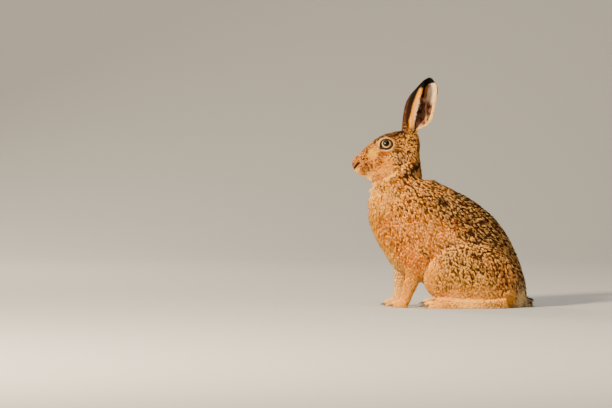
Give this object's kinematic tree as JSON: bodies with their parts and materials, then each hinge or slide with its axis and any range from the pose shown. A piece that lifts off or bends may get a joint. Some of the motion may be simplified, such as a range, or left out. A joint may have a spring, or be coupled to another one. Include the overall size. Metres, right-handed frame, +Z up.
{
  "type": "brown hare model",
  "caption": "Still, life-size model of a brown hare sitting upright and alert with raised ears.",
  "frame": {"origin": "on the floor under the middle of the whole model's bounding box", "axes": "-X the way the hare faces, -Y its left side, which the picture shows, +Z up"},
  "size_m": [0.3292, 0.1542, 0.4248],
  "materials": {
    "coat_brown": "short brown fur with black and cream flecks",
    "coat_orange": "short orange-buff fur",
    "coat_buff": "very short buff fur",
    "tail_black": "black fur, white beneath",
    "eye_amber": "wet gloss",
    "claw_horn": "dull horn"
  },
  "bodies": {
    "root": {"belly": "coat_brown", "chest": "coat_orange", "ear_left": "coat_buff", "ear_right": "coat_buff", "eye_left": "eye_amber", "eye_right": "eye_amber", "fore_claw_left_1": "claw_horn", "fore_claw_left_2": "claw_horn", "fore_claw_left_3": "claw_horn", "fore_claw_left_4": "claw_horn", "fore_claw_right_1": "claw_horn", "fore_claw_right_2": "claw_horn", "fore_claw_right_3": "claw_horn", "fore_claw_right_4": "claw_horn", "foreleg_left": "coat_orange", "foreleg_right": "coat_orange", "forepaw_left": "coat_orange", "forepaw_right": "coat_orange", "head": "coat_brown", "hind_claw_left_1": "claw_horn", "hind_claw_left_2": "claw_horn", "hind_claw_left_3": "claw_horn", "hind_claw_left_4": "claw_horn", "hind_claw_right_1": "claw_horn", "hind_claw_right_2": "claw_horn", "hind_claw_right_3": "claw_horn", "hind_claw_right_4": "claw_horn", "hind_foot_left": "coat_buff", "hind_foot_right": "coat_buff", "neck": "coat_brown", "rump": "coat_brown", "shoulder_left": "coat_brown", "shoulder_right": "coat_brown", "tail": "tail_black", "thigh_left": "coat_brown", "thigh_right": "coat_brown"}
  },
  "joints": []
}
